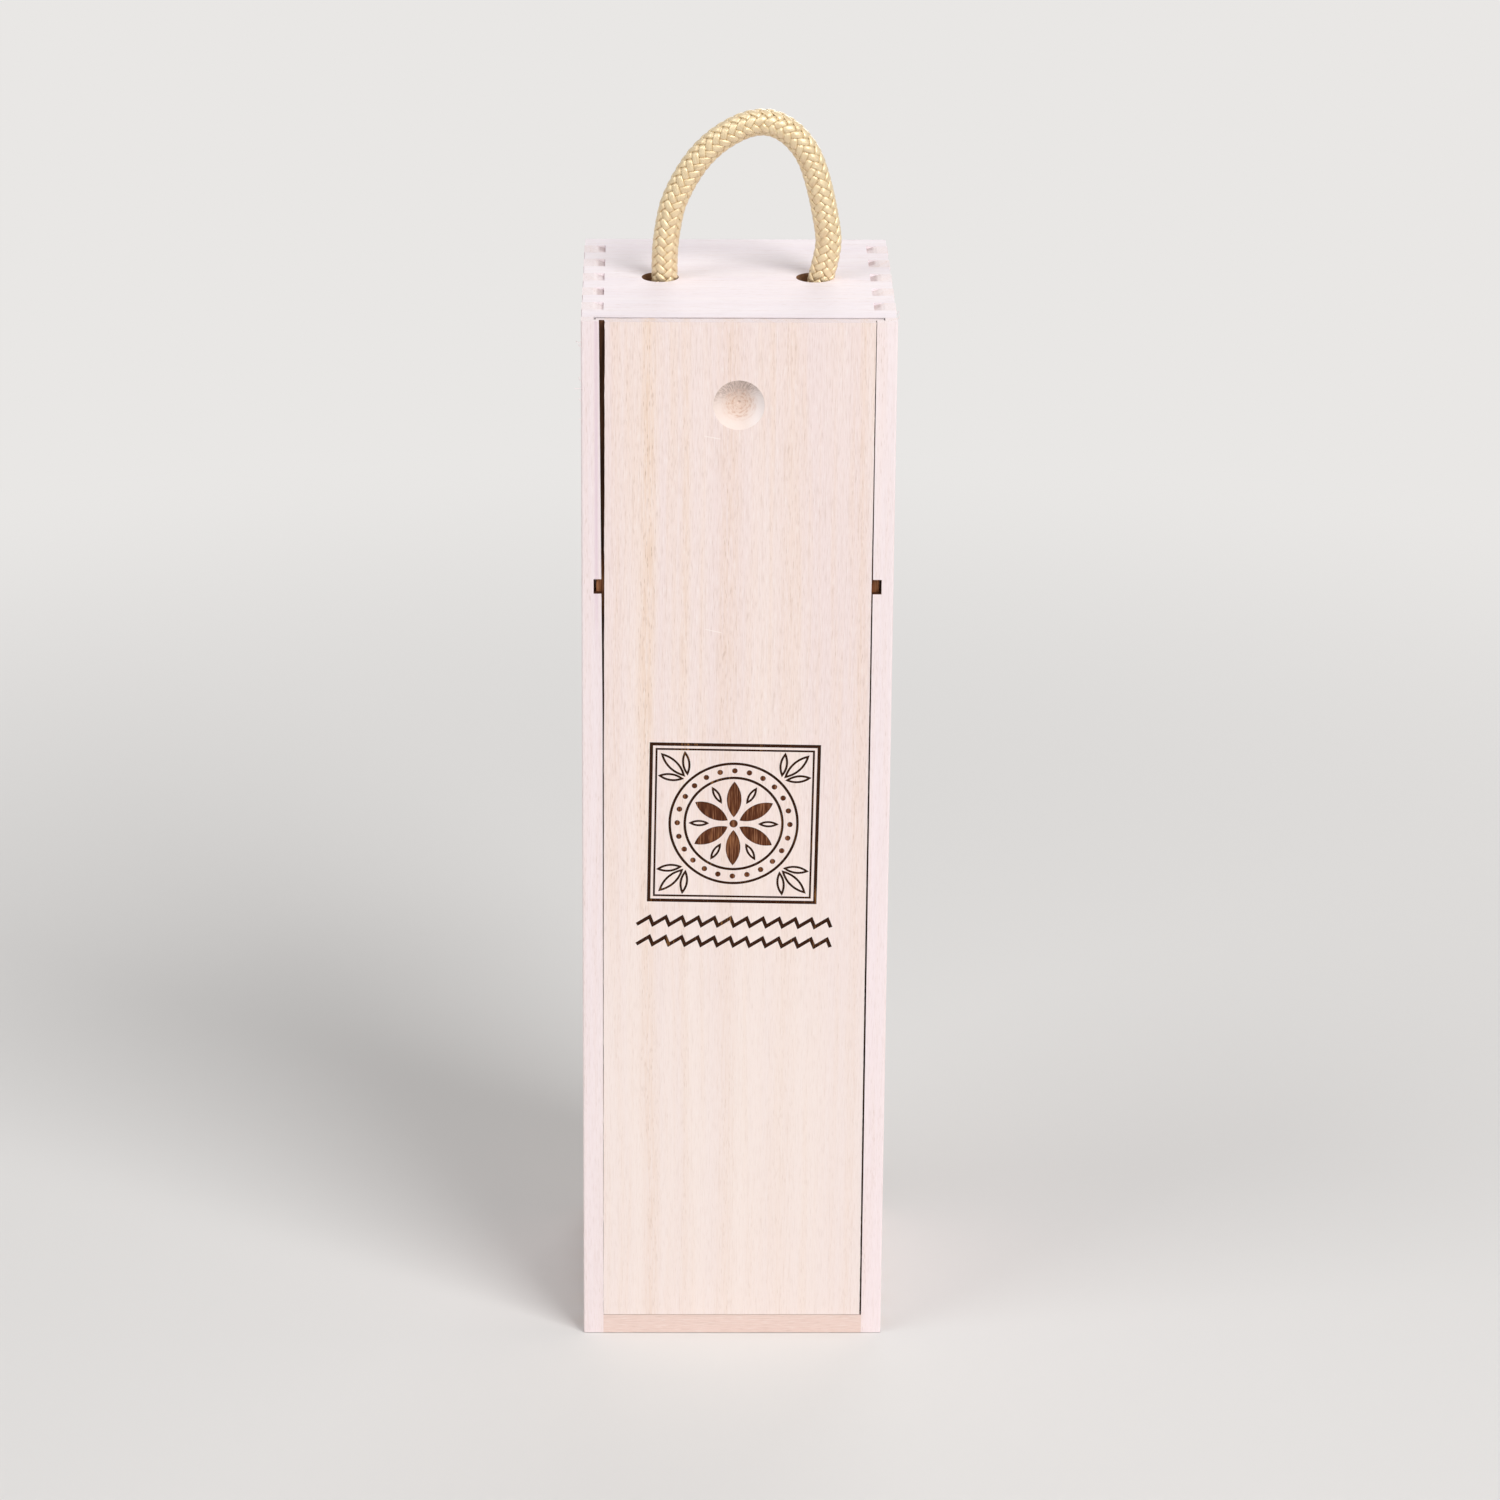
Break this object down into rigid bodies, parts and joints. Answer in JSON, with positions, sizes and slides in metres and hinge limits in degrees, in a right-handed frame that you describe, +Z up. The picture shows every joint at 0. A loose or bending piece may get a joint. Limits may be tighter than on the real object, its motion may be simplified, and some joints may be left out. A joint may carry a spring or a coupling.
{
  "type": "wooden wine box",
  "caption": "Upright finger-jointed wooden box for a single bottle, with a sliding front lid, an inner neck brace and a braided rope handle.",
  "frame": {"origin": "centre of the box's underside, on the surface it stands on", "axes": "+Z up along the bottle, -Y out of the sliding lid at the front, +X to the right as seen from the front"},
  "size_m": [0.1, 0.1, 0.4088],
  "materials": {
    "pale_wood": "matte",
    "warm_wood": "matte",
    "braided_rope": "satin"
  },
  "bodies": {
    "case": {"left_side": "pale_wood", "right_side": "pale_wood", "top_board": "pale_wood", "bottom_board": "warm_wood", "back_panel": "warm_wood", "neck_brace": "warm_wood", "rope_end_left": "braided_rope", "rope_end_right": "braided_rope"},
    "lid": {"sliding_lid": "warm_wood"},
    "handle": {"rope_handle": "braided_rope"}
  },
  "joints": [
    {"name": "lid_slide", "type": "slide", "parent": "case", "child": "lid", "axis": [0, 0, 1], "range_m": [0, 0.35]},
    {"name": "handle_fold", "type": "hinge", "parent": "case", "child": "handle", "pos_m": [0, 0.0026, 0.3576], "axis": [-1, 0, 0], "range_deg": [-60, 85], "stiffness_Nm_per_rad": 0.02}
  ]
}
